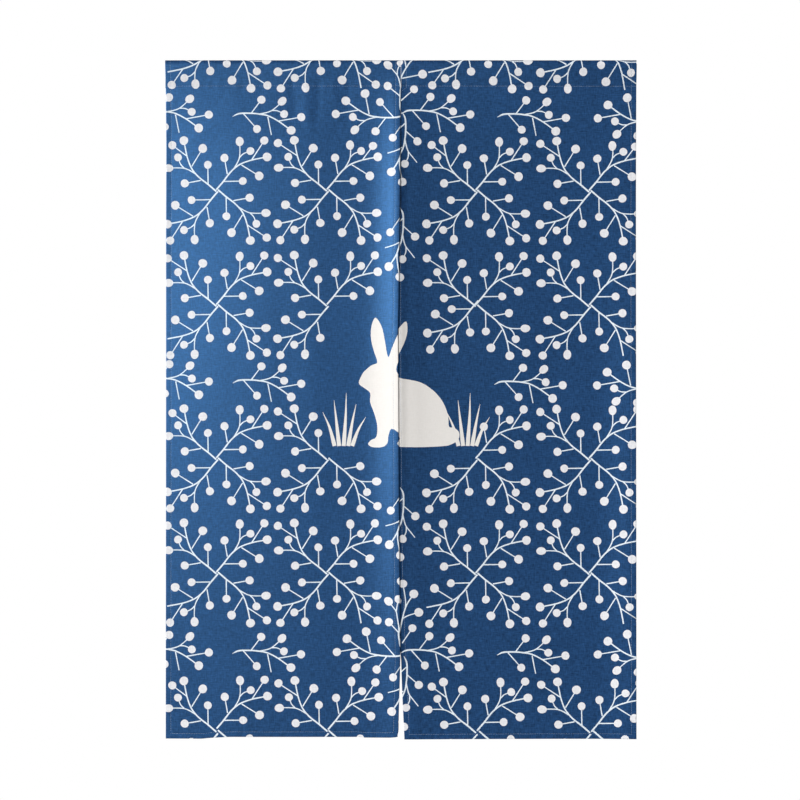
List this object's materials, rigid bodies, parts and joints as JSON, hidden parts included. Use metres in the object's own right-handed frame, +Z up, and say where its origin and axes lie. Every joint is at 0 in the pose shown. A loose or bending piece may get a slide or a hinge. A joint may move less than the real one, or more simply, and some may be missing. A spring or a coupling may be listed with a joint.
{
  "type": "noren curtain",
  "caption": "Split doorway curtain of lapped cloth panels with a rod pocket along the top and a long centre slit.",
  "frame": {"origin": "middle of the top edge, over the rod pocket's centre line", "axes": "+Z up along the drop, +X along the rod to the viewer's right, +Y from the printed front to the back"},
  "size_m": [0.8326, 0.035, 1.1993],
  "materials": {
    "left_cloth": "printed slub-weave polyester and linen cloth, mid blue with white berry branches, matt",
    "right_cloth": "printed slub-weave polyester and linen cloth, mid blue with white berry branches, matt"
  },
  "bodies": {
    "root": {"panel_left": "left_cloth", "panel_right": "right_cloth"}
  },
  "joints": []
}
